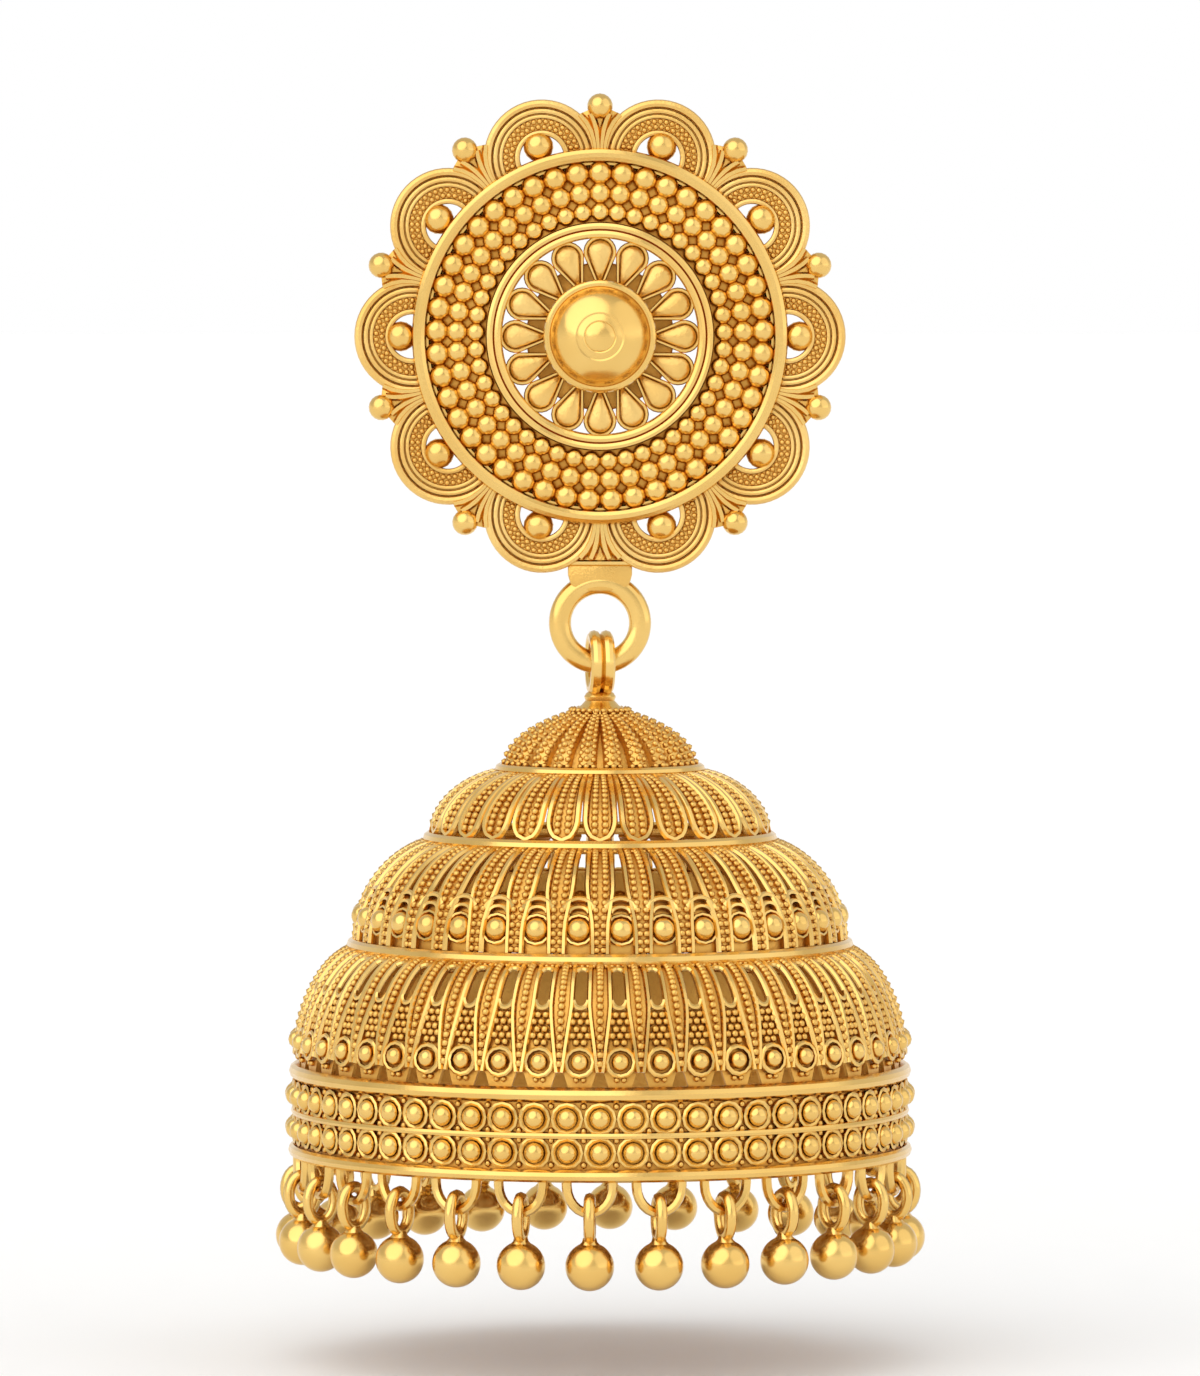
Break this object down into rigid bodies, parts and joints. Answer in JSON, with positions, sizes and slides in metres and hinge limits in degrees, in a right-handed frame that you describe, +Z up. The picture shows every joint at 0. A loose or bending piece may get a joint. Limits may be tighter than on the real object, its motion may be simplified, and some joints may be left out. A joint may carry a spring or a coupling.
{
  "type": "jhumka earring",
  "caption": "Bell drop earring: a round flower stud with an ear post, and a pierced domed bell that swings from its ring with a fringe of ball drops.",
  "frame": {"origin": "centre of the stud's back face, where the ear post enters the ear lobe", "axes": "+Z up, the front of the earring faces -Y, the ear post points along +Y"},
  "size_m": [0.0294, 0.0293, 0.0528],
  "materials": {
    "granulated_gold": "granulated and satin, rich yellow gold",
    "polished_gold": "polished, rich yellow gold"
  },
  "bodies": {
    "stud": {"stud": "granulated_gold", "ear_post": "polished_gold"},
    "bell": {"bell": "granulated_gold", "drop_01": "polished_gold", "drop_02": "polished_gold", "drop_03": "polished_gold", "drop_04": "polished_gold", "drop_05": "polished_gold", "drop_06": "polished_gold", "drop_07": "polished_gold", "drop_08": "polished_gold", "drop_09": "polished_gold", "drop_10": "polished_gold", "drop_11": "polished_gold", "drop_12": "polished_gold", "drop_13": "polished_gold", "drop_14": "polished_gold", "drop_15": "polished_gold", "drop_16": "polished_gold", "drop_17": "polished_gold", "drop_18": "polished_gold", "drop_19": "polished_gold", "drop_20": "polished_gold", "drop_21": "polished_gold", "drop_22": "polished_gold", "drop_23": "polished_gold", "drop_24": "polished_gold", "drop_25": "polished_gold", "drop_26": "polished_gold", "drop_27": "polished_gold", "drop_28": "polished_gold"}
  },
  "joints": [
    {"name": "bell_swing", "type": "hinge", "parent": "stud", "child": "bell", "pos_m": [0, -0.00045, -0.01475], "axis": [1, 0, 0], "range_deg": [-45, 45]}
  ]
}
